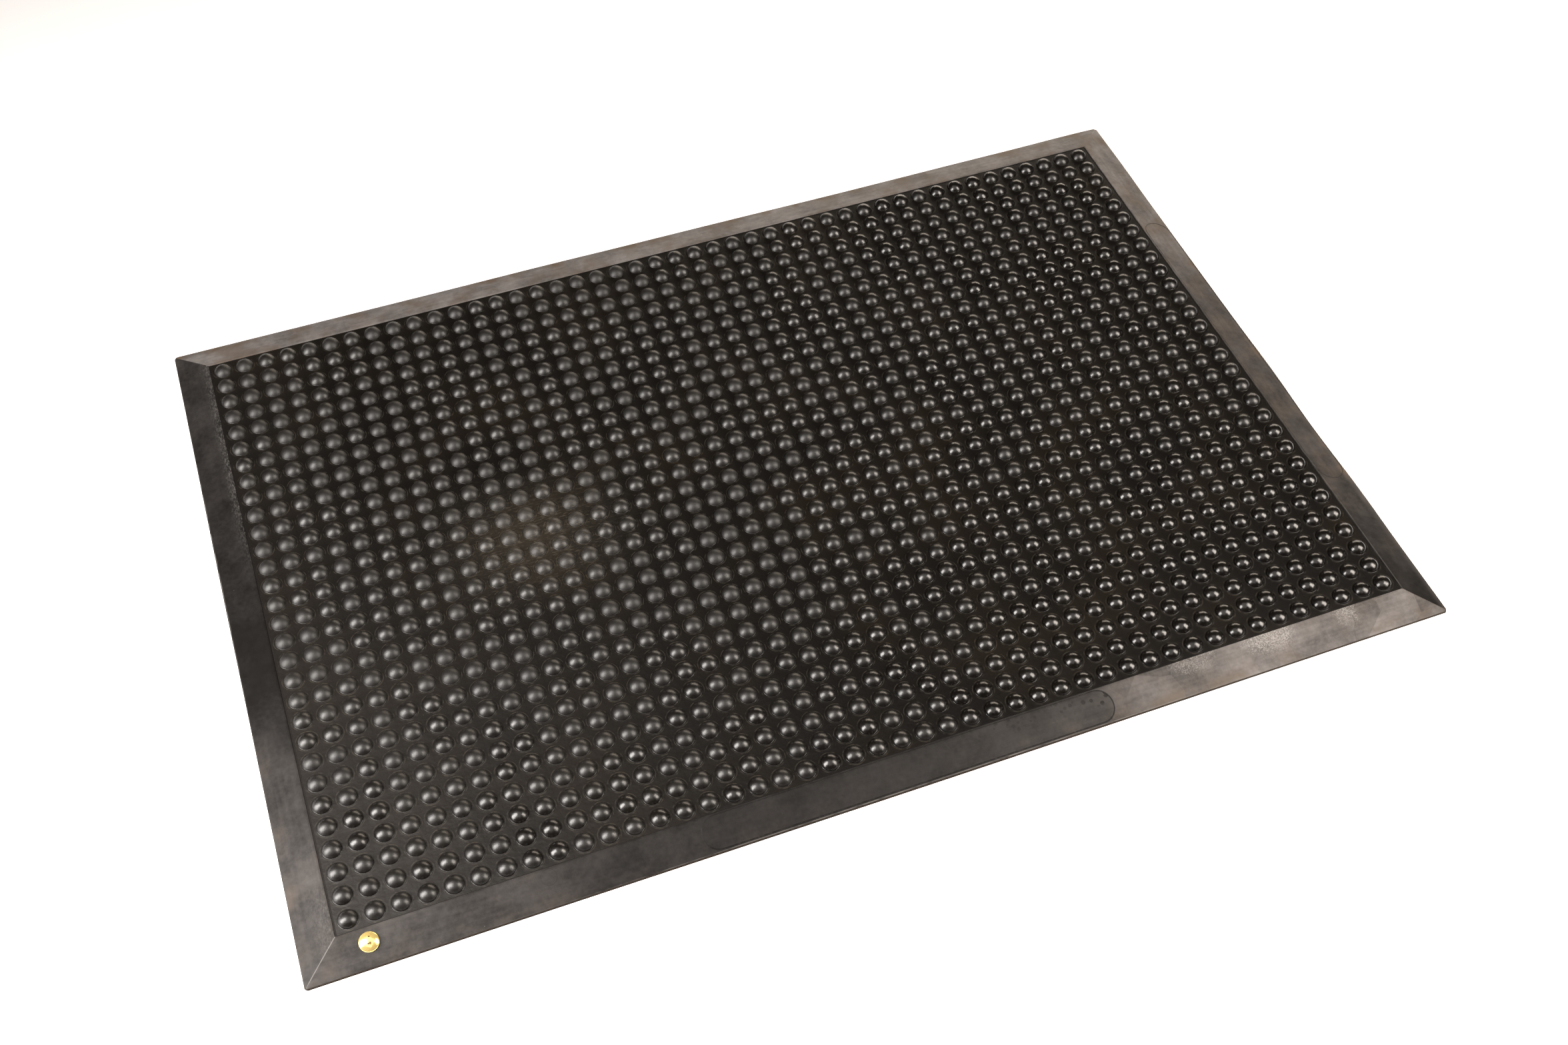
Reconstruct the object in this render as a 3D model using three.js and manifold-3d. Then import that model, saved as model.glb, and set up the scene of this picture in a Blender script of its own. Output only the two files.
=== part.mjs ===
// Anti-static rubber floor mat with a domed top and a bevelled border.
// Millimetres, +Z up. The origin is at the middle of the flat underside,
// +X runs along the long side and the stud sits at the front (-Y) left corner.

import * as THREE from 'three';
import { mergeVertices } from 'three/addons/utils/BufferGeometryUtils.js';
import Module from 'manifold-3d';

// Outline of the mat
const LENGTH = 950;
const WIDTH = 650;
const THICKNESS = 14.5;
const CORNER_RADIUS = 3;

// Border: a thin upright edge, a long bevel and a narrow flat rim at its top
const EDGE_HEIGHT = 2;
const BORDER_WIDTH = 30;
const RIM_WIDTH = 1.6;
const RIM_STEP = 0.5;

// Domes in straight columns and rows, a little further apart along the length
const COLUMNS = 45;
const ROWS = 30;
const COLUMN_PITCH = 19.71;
const ROW_PITCH = 19.62;
const DOME_HEIGHT = 5.5;

// Stud at the front left corner, set square to the bevel
const STUD_FROM_LEFT = 52;
const STUD_FROM_FRONT = 19;
const CAP_RADIUS = 7.5;
const CAP_BRIM = 0.5;
const CAP_CROWN = 2.4;
const SHANK_RADIUS = 2;
const SOCKET_RADIUS = 5.5;
const SOCKET_THICKNESS = 1.6;
const CLEARANCE = 0.3;
const ROUND_SEGMENTS = 48;
const CAP_STEPS = 6;

// How far a cutter or a hidden face runs past the surface it works on
const OVERRUN = 1;
const POCKET_DEPTH = 3;
const BLOCK_DEPTH = 5;

// Points closer than this to a flat face between them are merged into it
const FLATNESS = 0.001;

// Heights and lengths that follow from the ones above
const PANEL_Z = THICKNESS - DOME_HEIGHT;
const RIM_Z = PANEL_Z + RIM_STEP;
const BEVEL_RUN = BORDER_WIDTH - RIM_WIDTH;
const BEVEL_RISE = RIM_Z - EDGE_HEIGHT;
const BEVEL_ANGLE = Math.atan2(BEVEL_RISE, BEVEL_RUN);
const PANEL_LENGTH = LENGTH - 2 * BORDER_WIDTH;
const PANEL_WIDTH = WIDTH - 2 * BORDER_WIDTH;
const STUD_X = STUD_FROM_LEFT - LENGTH / 2;
const STUD_Y = STUD_FROM_FRONT - WIDTH / 2;
const STUD_Z = EDGE_HEIGHT + STUD_FROM_FRONT * Math.tan(BEVEL_ANGLE);

// Depths below the bevel's surface, measured along the stud's own axis
const AXIS_TO_FLOOR = STUD_Z / Math.cos(BEVEL_ANGLE);
const SOCKET_LIFT = SOCKET_RADIUS * Math.tan(BEVEL_ANGLE) + CLEARANCE;
const SOCKET_BOTTOM = AXIS_TO_FLOOR - SOCKET_LIFT;
const SOCKET_TOP = SOCKET_BOTTOM - SOCKET_THICKNESS;
const RECESS_TOP = SOCKET_TOP - CLEARANCE;

const RUBBER = new THREE.MeshStandardMaterial({ color: 0x2d2a28, roughness: 0.5, metalness: 0 });
const BRASS = new THREE.MeshStandardMaterial({ color: 0xd6a544, roughness: 0.18, metalness: 1 });

const wasm = await Module();
wasm.setup();

// A closed three.js geometry as a manifold solid.
function toSolid(geometry) {
  const bare = geometry.index ? geometry.clone() : geometry;
  bare.deleteAttribute('normal');
  bare.deleteAttribute('uv');
  const merged = mergeVertices(bare, 1e-4);
  const mesh = new wasm.Mesh({
    numProp: 3,
    vertProperties: new Float32Array(merged.attributes.position.array),
    triVerts: new Uint32Array(merged.index.array),
  });
  return new wasm.Manifold(mesh);
}

// A manifold solid back as a three.js geometry.
function toGeometry(solid) {
  const mesh = solid.getMesh();
  const geometry = new THREE.BufferGeometry();
  geometry.setAttribute('position', new THREE.BufferAttribute(mesh.vertProperties, 3));
  geometry.setIndex(new THREE.BufferAttribute(mesh.triVerts, 1));
  geometry.computeVertexNormals();
  return geometry;
}

function rectangle(length, width) {
  const shape = new THREE.Shape();
  shape.moveTo(-length / 2, -width / 2);
  shape.lineTo(length / 2, -width / 2);
  shape.lineTo(length / 2, width / 2);
  shape.lineTo(-length / 2, width / 2);
  shape.closePath();
  return shape;
}

function roundedRectangle(length, width, radius) {
  const x = length / 2 - radius;
  const y = width / 2 - radius;
  const shape = new THREE.Shape();
  shape.absarc(x, y, radius, 0, Math.PI / 2);
  shape.absarc(-x, y, radius, Math.PI / 2, Math.PI);
  shape.absarc(-x, -y, radius, Math.PI, 1.5 * Math.PI);
  shape.absarc(x, -y, radius, 1.5 * Math.PI, 2 * Math.PI);
  return shape;
}

// The slab with its upright edge and its four mitred bevels.
function borderedSlab() {
  const twin = new THREE.ExtrudeGeometry(rectangle(LENGTH - 2 * BEVEL_RUN, WIDTH - 2 * BEVEL_RUN), {
    depth: 2 * EDGE_HEIGHT,
    bevelEnabled: true,
    bevelThickness: BEVEL_RISE,
    bevelSize: BEVEL_RUN,
    bevelSegments: 1,
  });
  twin.translate(0, 0, -EDGE_HEIGHT);
  const outline = new THREE.ExtrudeGeometry(roundedRectangle(LENGTH, WIDTH, CORNER_RADIUS), {
    depth: THICKNESS,
    bevelEnabled: false,
    curveSegments: 4,
  });
  return toSolid(twin).intersect(toSolid(outline));
}

// The pocket inside the rim that the domed panel fills.
function panelPocket() {
  const depth = POCKET_DEPTH + RIM_STEP + OVERRUN;
  const pocket = new THREE.BoxGeometry(PANEL_LENGTH, PANEL_WIDTH, depth);
  pocket.translate(0, 0, RIM_Z + OVERRUN - depth / 2);
  return toSolid(pocket);
}

// Position of grid line i, half a pitch apart, with one last line under the rim.
function gridLine(i, count, pitch, span) {
  if (i === 0) return -span / 2;
  if (i === 2 * count + 2) return span / 2;
  return (i - 1 - count) * pitch / 2;
}

// The panel: a block whose top rises to a four-sided point at every dome.
function domedPanel() {
  const length = PANEL_LENGTH + 2 * OVERRUN;
  const width = PANEL_WIDTH + 2 * OVERRUN;
  const nx = 2 * COLUMNS + 2;
  const ny = 2 * ROWS + 2;
  const block = new THREE.BoxGeometry(nx, ny, BLOCK_DEPTH, nx, ny, 1);
  const position = block.attributes.position;
  const isApex = new Array(position.count).fill(false);
  for (let v = 0; v < position.count; v += 1) {
    const i = Math.round(position.getX(v) + nx / 2);
    const j = Math.round(position.getY(v) + ny / 2);
    const top = position.getZ(v) > 0;
    const inside = i > 0 && i < nx && j > 0 && j < ny;
    isApex[v] = top && inside && i % 2 === 0 && j % 2 === 0;
    position.setXYZ(
      v,
      gridLine(i, COLUMNS, COLUMN_PITCH, length),
      gridLine(j, ROWS, ROW_PITCH, width),
      PANEL_Z + (isApex[v] ? DOME_HEIGHT : 0) - (top ? 0 : BLOCK_DEPTH),
    );
  }
  turnDiagonals(block, isApex);
  return toSolid(block);
}

// Each grid square is cut along the diagonal that misses the dome's point.
function turnDiagonals(geometry, isApex) {
  const index = geometry.index;
  for (let k = 0; k < index.count; k += 6) {
    const a = index.getX(k);
    const b = index.getX(k + 1);
    const c = index.getX(k + 4);
    const d = index.getX(k + 2);
    if (isApex[b] || isApex[d]) {
      [a, b, c, a, c, d].forEach((v, n) => index.setX(k + n, v));
    }
  }
}

// A cylinder from one depth to another below the bevel, along the stud's axis.
function studCutter(radius, from, to) {
  const cylinder = new THREE.CylinderGeometry(radius, radius, to - from, ROUND_SEGMENTS);
  cylinder.rotateX(Math.PI / 2);
  cylinder.translate(0, 0, -(from + to) / 2);
  cylinder.rotateX(BEVEL_ANGLE);
  cylinder.translate(STUD_X, STUD_Y, STUD_Z);
  return toSolid(cylinder);
}

function matGeometry() {
  const hole = studCutter(SHANK_RADIUS + CLEARANCE, -OVERRUN, AXIS_TO_FLOOR);
  const recess = studCutter(SOCKET_RADIUS + CLEARANCE, RECESS_TOP, AXIS_TO_FLOOR + BLOCK_DEPTH);
  const moulded = borderedSlab().subtract(panelPocket()).add(domedPanel());
  return toGeometry(moulded.subtract(hole).subtract(recess).asOriginal().simplify(FLATNESS));
}

// The cap: a low crown over a thin brim, with its shank turned in one piece.
function capGeometry() {
  const profile = [new THREE.Vector2(0, -SOCKET_BOTTOM), new THREE.Vector2(SHANK_RADIUS, -SOCKET_BOTTOM)];
  profile.push(new THREE.Vector2(SHANK_RADIUS, CLEARANCE), new THREE.Vector2(CAP_RADIUS, CLEARANCE));
  const sphere = (CAP_RADIUS ** 2 + CAP_CROWN ** 2) / (2 * CAP_CROWN);
  for (let n = 0; n < CAP_STEPS; n += 1) {
    const r = CAP_RADIUS * (1 - n / CAP_STEPS);
    const crown = Math.sqrt(sphere ** 2 - r ** 2) - (sphere - CAP_CROWN);
    profile.push(new THREE.Vector2(r, CLEARANCE + CAP_BRIM + crown));
  }
  profile.push(new THREE.Vector2(0, CLEARANCE + CAP_BRIM + CAP_CROWN));
  return new THREE.LatheGeometry(profile, ROUND_SEGMENTS).rotateX(Math.PI / 2);
}

// The socket: a plain ring on the shank's lower end, inside the recess.
function socketGeometry() {
  const inner = SHANK_RADIUS + CLEARANCE;
  const profile = [
    new THREE.Vector2(inner, -SOCKET_BOTTOM),
    new THREE.Vector2(SOCKET_RADIUS, -SOCKET_BOTTOM),
    new THREE.Vector2(SOCKET_RADIUS, -SOCKET_TOP),
    new THREE.Vector2(inner, -SOCKET_TOP),
    new THREE.Vector2(inner, -SOCKET_BOTTOM),
  ];
  return new THREE.LatheGeometry(profile, ROUND_SEGMENTS).rotateX(Math.PI / 2);
}

const mat = new THREE.Mesh(matGeometry(), RUBBER);
mat.name = 'mat';

const studCap = new THREE.Mesh(capGeometry(), BRASS);
studCap.name = 'stud_cap';

const studSocket = new THREE.Mesh(socketGeometry(), BRASS.clone());
studSocket.name = 'stud_socket';

const stud = new THREE.Group();
stud.position.set(STUD_X, STUD_Y, STUD_Z);
stud.rotation.x = BEVEL_ANGLE;
stud.add(studCap, studSocket);

const part = new THREE.Group();
part.add(mat, stud);

export default part;
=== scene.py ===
"""Dresses the anti-static mat: round domes, a worn bevelled border, a brass stud and a pale studio."""

import logging
import math
from dataclasses import dataclass
from enum import Enum
from typing import Any, Dict, List, Optional, Sequence, Tuple, Union

import bpy
import numpy as np
from mathutils import Euler, Matrix, Vector


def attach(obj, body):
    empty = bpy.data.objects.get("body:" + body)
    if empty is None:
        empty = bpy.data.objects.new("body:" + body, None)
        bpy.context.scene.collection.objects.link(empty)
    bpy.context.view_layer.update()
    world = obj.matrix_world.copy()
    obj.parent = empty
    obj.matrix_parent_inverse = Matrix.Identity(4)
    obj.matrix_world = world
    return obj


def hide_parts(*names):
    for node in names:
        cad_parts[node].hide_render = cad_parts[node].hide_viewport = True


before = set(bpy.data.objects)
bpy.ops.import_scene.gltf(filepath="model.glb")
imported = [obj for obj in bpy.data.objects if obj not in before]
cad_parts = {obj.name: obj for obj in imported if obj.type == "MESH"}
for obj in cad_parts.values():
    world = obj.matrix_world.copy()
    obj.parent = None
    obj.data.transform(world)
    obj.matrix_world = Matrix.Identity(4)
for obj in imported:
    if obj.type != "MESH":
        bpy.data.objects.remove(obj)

LOG = logging.getLogger("mat")
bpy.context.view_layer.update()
MM = 0.001
TINY = 1e-9
SEED = 31

Number = Union[int, float]
Colour = Tuple[float, float, float]
Point = Tuple[float, float, float]
Curve = Tuple[Tuple[float, float], ...]


# Shared sizes


class Side(Enum):
    """The four sides of the border."""

    FRONT = "front"
    RIGHT = "right"
    BACK = "back"
    LEFT = "left"


@dataclass(frozen=True)
class MatSizes:
    """Sizes of the mat in metres, in the row frame, the same as in the part's source."""

    length: float = 0.950
    width: float = 0.650
    edge_height: float = 0.002
    border: float = 0.030
    rim_width: float = 0.0016
    rim_step: float = 0.0005
    panel_z: float = 0.0090
    columns: int = 45
    rows: int = 30
    pitch_x: float = 0.01971
    pitch_y: float = 0.01962
    dome_height: float = 0.0055
    stud_from_left: float = 0.052
    stud_from_front: float = 0.019

    @property
    def rim_z(self) -> float:
        """Height of the narrow rim round the panel."""
        return self.panel_z + self.rim_step

    @property
    def slope(self) -> float:
        """Rise of the bevel for each metre inwards."""
        return (self.rim_z - self.edge_height) / (self.border - self.rim_width)

    @property
    def field_half(self) -> Tuple[float, float]:
        """Half the length and half the width of the domed field."""
        return self.columns * self.pitch_x / 2, self.rows * self.pitch_y / 2

    @property
    def half(self) -> Tuple[float, float]:
        """Half the length and half the width, in millimetres."""
        return self.length / MM / 2, self.width / MM / 2

    @property
    def pitch(self) -> Tuple[float, float]:
        """Distance from dome to dome along the length and the width, in millimetres."""
        return self.pitch_x / MM, self.pitch_y / MM

    @property
    def stud_point(self) -> Vector:
        """Where the stud's axis meets the bevel."""
        return Vector(
            (
                self.stud_from_left - self.length / 2,
                self.stud_from_front - self.width / 2,
                self.edge_height + self.stud_from_front * self.slope,
            )
        )

    @property
    def stud_turn(self) -> Matrix:
        """Place of the stud: its axis square to the front bevel."""
        tilt = Matrix.Rotation(math.atan(self.slope), 4, "X")
        return Matrix.Translation(self.stud_point) @ tilt


SIZES = MatSizes()


# Shader expressions


class Value:
    """One number that varies over a surface; Python's operators on it add Math nodes."""

    def __init__(self, sheet: "FinishSheet", socket: Any) -> None:
        """Wraps an output socket.

        Args:
            sheet: the node sheet that the socket is on.
            socket: the output socket that carries the number.
        """
        self.sheet = sheet
        self.socket = socket

    def __add__(self, other: "Operand") -> "Value":
        """Sum."""
        return self.sheet.maths("ADD", self, other)

    __radd__ = __add__

    def __sub__(self, other: "Operand") -> "Value":
        """Difference."""
        return self.sheet.maths("SUBTRACT", self, other)

    def __rsub__(self, other: Number) -> "Value":
        """Difference with a plain number first."""
        return self.sheet.maths("SUBTRACT", other, self)

    def __mul__(self, other: "Operand") -> "Value":
        """Product."""
        return self.sheet.maths("MULTIPLY", self, other)

    __rmul__ = __mul__

    def __truediv__(self, other: "Operand") -> "Value":
        """Quotient."""
        return self.sheet.maths("DIVIDE", self, other)

    def __rtruediv__(self, other: Number) -> "Value":
        """Quotient with a plain number first."""
        return self.sheet.maths("DIVIDE", other, self)

    def __abs__(self) -> "Value":
        """Size without its sign."""
        return self.sheet.maths("ABSOLUTE", self)

    def low(self, other: "Operand") -> "Value":
        """The lower of this and another."""
        return self.sheet.maths("MINIMUM", self, other)

    def high(self, other: "Operand") -> "Value":
        """The higher of this and another."""
        return self.sheet.maths("MAXIMUM", self, other)

    def fraction(self) -> "Value":
        """What is left past the whole number below."""
        return self.sheet.maths("FRACT", self)

    def reach(self, other: "Value") -> "Value":
        """Length of the vector with this and another as its parts."""
        return self.sheet.maths("SQRT", self * self + other * other)

    def rise(self, start: Number, end: Number) -> "Value":
        """A smooth step.

        Args:
            start: the value at which the result leaves 0.
            end: the value at which the result reaches 1. It may be below start.

        Returns:
            A mask from 0 to 1.
        """
        swap = end < start
        ends = {"From Min": min(start, end), "From Max": max(start, end)}
        goal = {"To Min": float(swap), "To Max": float(not swap)}
        settings = {"interpolation_type": "SMOOTHSTEP"}
        made = self.sheet.node("ShaderNodeMapRange", settings, {"Value": self, **ends, **goal})
        return Value(self.sheet, made.outputs["Result"])

    def near(self, centre: Number, reach: Number) -> "Value":
        """A soft bump that is 1 at a centre and 0 at a reach to either side.

        Args:
            centre: the value where the bump is highest.
            reach: how far from the centre the bump ends.

        Returns:
            A mask from 0 to 1.
        """
        return abs(self - centre).rise(reach, 0.0)


Operand = Union[Value, Number]


class FinishSheet:
    """The node sheet of one material."""

    def __init__(self, name: str) -> None:
        """Makes an empty material.

        Args:
            name: the material's name.
        """
        self.material = bpy.data.materials.new(name)
        self.material.use_nodes = True
        self.tree = self.material.node_tree
        self.tree.nodes.clear()
        self._axes: Optional[Tuple[Value, Value, Value]] = None

    def node(self, kind: str, settings: Dict[str, Any], sockets: Dict[Any, Any]) -> Any:
        """Adds one node.

        Args:
            kind: the node's type.
            settings: its properties, set first; "stops" holds a ramp's positions and colours.
            sockets: its inputs by name or number, each a plain value, a Value or a socket.

        Returns:
            The node.
        """
        made = self.tree.nodes.new(kind)
        for name, setting in settings.items():
            if name == "stops":
                self._set_stops(made.color_ramp, setting)
            else:
                setattr(made, name, setting)
        for name, given in sockets.items():
            target = made.inputs[name]
            if isinstance(given, Value):
                self.tree.links.new(given.socket, target)
            elif isinstance(given, bpy.types.NodeSocket):
                self.tree.links.new(given, target)
            else:
                target.default_value = given
        return made

    @staticmethod
    def _set_stops(ramp: Any, stops: Sequence[Tuple[float, Colour]]) -> None:
        """Fills a colour ramp with its stops."""
        while len(ramp.elements) < len(stops):
            ramp.elements.new(1.0)
        for element, (place, colour) in zip(ramp.elements, stops):
            element.position = place
            element.color = (*colour, 1.0)

    def maths(self, operation: str, first: Operand, second: Optional[Operand] = None) -> Value:
        """Adds a Math node.

        Args:
            operation: the node's operation.
            first: the first operand.
            second: the second operand, if the operation has one.

        Returns:
            The result.
        """
        sockets: Dict[Any, Any] = {0: first}
        if second is not None:
            sockets[1] = second
        made = self.node("ShaderNodeMath", {"operation": operation}, sockets)
        return Value(self, made.outputs[0])

    @property
    def axes(self) -> Tuple[Value, Value, Value]:
        """The surface point's x, y and z in millimetres, in the row frame."""
        if self._axes is None:
            place = self.node("ShaderNodeTexCoord", {}, {}).outputs["Object"]
            split = self.node("ShaderNodeSeparateXYZ", {}, {0: place})
            x, y, z = (Value(self, out) / MM for out in split.outputs)
            self._axes = (x, y, z)
        return self._axes

    def point(self, scale: Point = (1.0, 1.0, 1.0)) -> Any:
        """The surface point as a texture vector.

        Args:
            scale: the factor on each axis; below 1 it draws the texture out along that axis.

        Returns:
            A vector socket.
        """
        place = self.node("ShaderNodeTexCoord", {}, {}).outputs["Object"]
        moved = self.node("ShaderNodeVectorMath", {"operation": "MULTIPLY"}, {0: place, 1: scale})
        return moved.outputs[0]

    def noise(self, grain: float, detail: float = 3.0, point: Any = None, rough: float = 0.55) -> Value:
        """Noise around 0.5.

        Args:
            grain: the size of its patches in millimetres.
            detail: how many finer layers it has.
            point: the texture vector, or None for the plain surface point.
            rough: how strong the finer layers are.

        Returns:
            The noise value.
        """
        sockets = {"Scale": 1.0 / (grain * MM), "Detail": detail, "Roughness": rough}
        sockets["Vector"] = self.point() if point is None else point
        made = self.node("ShaderNodeTexNoise", {"noise_dimensions": "3D"}, sockets)
        return Value(self, made.outputs[0])

    def _cells(self, spacing: float) -> Tuple[Value, Value, Value]:
        """Scattered cells.

        Args:
            spacing: the mean distance between their centres in millimetres.

        Returns:
            The distance to the nearest centre as a share of the spacing, and two chances for each cell.
        """
        sockets = {"Scale": 1.0 / (spacing * MM), "Vector": self.point()}
        made = self.node("ShaderNodeTexVoronoi", {"voronoi_dimensions": "3D"}, sockets)
        chance = self.node("ShaderNodeSeparateColor", {}, {0: made.outputs["Color"]})
        first, second = (Value(self, chance.outputs[n]) for n in range(2))
        return Value(self, made.outputs["Distance"]), first, second

    def specks(self, spacing: float, radius: float, share: float) -> Value:
        """Scattered round dots.

        Args:
            spacing: the mean distance between places for a dot, in millimetres.
            radius: the largest radius of a dot, in millimetres.
            share: the share of places that hold one.

        Returns:
            A mask that is 1 on the dots.
        """
        away, chance, spread = self._cells(spacing)
        size = spread * 0.6 + 0.4
        distance = away * spacing / (size * radius)
        return distance.rise(1.0, 0.7) * chance.rise(1 - share, 1 - share + 0.01)

    def patches(self, spacing: float) -> Value:
        """Patches of even tone with straight edges, a chance from 0 to 1 on each."""
        return self._cells(spacing)[1]

    def profile(self, along: Value, stops: Curve) -> Value:
        """A smooth curve along one axis.

        Args:
            along: the place on the axis.
            stops: places, in rising order, and the curve's height from 0 to 1 at each.

        Returns:
            The curve's height.
        """
        first, last = stops[0][0], stops[-1][0]
        marks = [((place - first) / (last - first), (height,) * 3) for place, height in stops]
        made = self.node("ShaderNodeValToRGB", {"stops": marks}, {0: (along - first) / (last - first)})
        made.color_ramp.interpolation = "EASE"
        return Value(self, made.outputs[0])

    def blend(self, mask: Operand, below: Any, above: Any) -> Any:
        """Mixes two colours.

        Args:
            mask: 0 for the colour below, 1 for the colour above.
            below: a colour or a colour socket.
            above: a colour or a colour socket.

        Returns:
            The mixed colour's socket.
        """
        pair = [(*c, 1.0) if isinstance(c, tuple) else c for c in (below, above)]
        settings = {"data_type": "RGBA", "clamp_factor": True}
        made = self.node("ShaderNodeMix", settings, {0: mask, 6: pair[0], 7: pair[1]})
        return made.outputs[2]

    def layers(self, colour: Any, *over: Tuple[Operand, Any]) -> Any:
        """Lays colours over a first one.

        Args:
            colour: the colour at the bottom.
            *over: each mask with the colour that it shows, from below up.

        Returns:
            The mixed colour's socket.
        """
        for mask, above in over:
            colour = self.blend(mask, colour, above)
        return colour

    def relief(self, height: Value, depth: float, under: Any = None) -> Any:
        """Adds a Bump node.

        Args:
            height: the relief's height from 0 to 1.
            depth: the height that 1 stands for, in millimetres.
            under: the normal of an earlier relief, if any.

        Returns:
            The normal's socket.
        """
        sockets = {"Height": height, "Distance": depth * MM, "Strength": 1.0}
        if under is not None:
            sockets["Normal"] = under
        return self.node("ShaderNodeBump", {}, sockets).outputs[0]

    def finish(self, **sockets: Any) -> bpy.types.Material:
        """Ends the sheet with its shader.

        Args:
            **sockets: the shader's inputs, with _ for a space in their names.

        Returns:
            The finished material.
        """
        named = {name.replace("_", " "): given for name, given in sockets.items()}
        shader = self.node("ShaderNodeBsdfPrincipled", {}, named)
        self.node("ShaderNodeOutputMaterial", {}, {"Surface": shader.outputs[0]})
        return self.material


# Finishes


def near_left_haze_and_sheen(sheet: FinishSheet) -> Value:
    """Share of pale haze on the panel's flats, most in the near left corner: partly bloom, partly painted
    sheen of the left lamp.
    """
    x, y, _ = sheet.axes
    corner = x.rise(40.0, -400.0) * y.rise(120.0, -270.0)
    return corner * 0.62 + x.rise(-300.0, -450.0) * 0.3


@dataclass(frozen=True)
class DomedRubber:
    """Satin black rubber of the domed panel, dusty at the foot of each dome and dull in places."""

    black: Colour = (0.0018, 0.0013, 0.0009)
    brown: Colour = (0.0050, 0.0034, 0.0018)
    # pale bloom colour, which also carries painted sheen of the left lamp near the left corner
    haze: Colour = (0.0105, 0.0090, 0.0078)
    dust: Colour = (0.070, 0.059, 0.044)
    dull: float = 0.54
    glossy: float = 0.24
    flat_rough: float = 0.30
    shine: float = 0.50

    def make(self) -> bpy.types.Material:
        """Builds the material.

        Returns:
            The material for the domes and the flats between them.
        """
        sheet = FinishSheet("domed_rubber")
        reach = self._from_dome(sheet)
        patches = sheet.noise(90.0, 3.0).rise(0.42, 0.68)
        cloud = sheet.noise(4.0, 5.0)
        flat = reach.rise(7.4, 8.1)
        foot = reach.near(8.9, 0.5) * cloud.rise(0.40, 0.62)
        scatter = sheet.specks(9.0, 0.24, 0.35)
        rubbed = self._rubbed_patch(sheet)
        dusty = (foot * 0.3 + scatter * 0.8 + rubbed).low(1.0)
        colour = sheet.layers(
            self.black,
            (patches * (0.35 + 0.5 * flat), self.brown),
            # bloom with painted sheen of the left lamp, most on the near left flats
            (near_left_haze_and_sheen(sheet) * (0.15 + flat * 0.85), self.haze),
            (dusty, self.dust),
        )
        dome_rough = self.dull + (self.glossy - self.dull) * self._gloss(sheet) + (cloud - 0.5) * 0.12
        rough = dome_rough + (self.flat_rough - dome_rough) * flat
        grain = sheet.relief(sheet.noise(0.7, 4.0), 0.02)
        normal = sheet.relief(sheet.noise(6.0, 3.0), 0.22, under=grain)
        return sheet.finish(
            Base_Color=colour, Roughness=rough + dusty * 0.15, Normal=normal, Specular_IOR_Level=self.shine
        )

    @staticmethod
    def _from_dome(sheet: FinishSheet) -> Value:
        """Distance from the nearest dome's axis, in millimetres."""
        x, y, _ = sheet.axes
        pitch_x, pitch_y = SIZES.pitch
        across = ((x / pitch_x + SIZES.columns / 2).fraction() - 0.5) * pitch_x
        along = ((y / pitch_y + SIZES.rows / 2).fraction() - 0.5) * pitch_y
        return across.reach(along)

    @staticmethod
    def _gloss(sheet: FinishSheet) -> Value:
        """Share of gloss on the domes: more to the right and at the near edge, and in loose patches."""
        x, y, _ = sheet.axes
        worn = sheet.noise(55.0, 2.0).rise(0.42, 0.62)
        return (x.rise(-120.0, 320.0) * 0.65 + y.rise(-60.0, -300.0) * 0.5 + worn * 0.4).low(1.0)

    @staticmethod
    def _rubbed_patch(sheet: FinishSheet) -> Value:
        """A dry, rubbed patch left of the panel's middle, with fine scratches across it."""
        x, y, _ = sheet.axes
        scratches = sheet.noise(2.2, 4.0, point=sheet.point(scale=(0.35, 1.6, 1.0)), rough=0.7)
        haze = x.near(-215.0, 110.0) * y.near(5.0, 90.0)
        return haze * (0.12 + scratches.rise(0.5, 0.72) * 0.5)


@dataclass(frozen=True)
class Scuff:
    """A chalky scuff on the front border: its place, half width and hang in millimetres, and strength."""

    middle: float
    reach: float
    hang: float
    strength: float


SCUFFS = (Scuff(248.0, 25.0, 17.0, 0.45), Scuff(318.0, 28.0, 22.0, 0.7), Scuff(389.0, 13.0, 20.0, 0.55))


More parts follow.
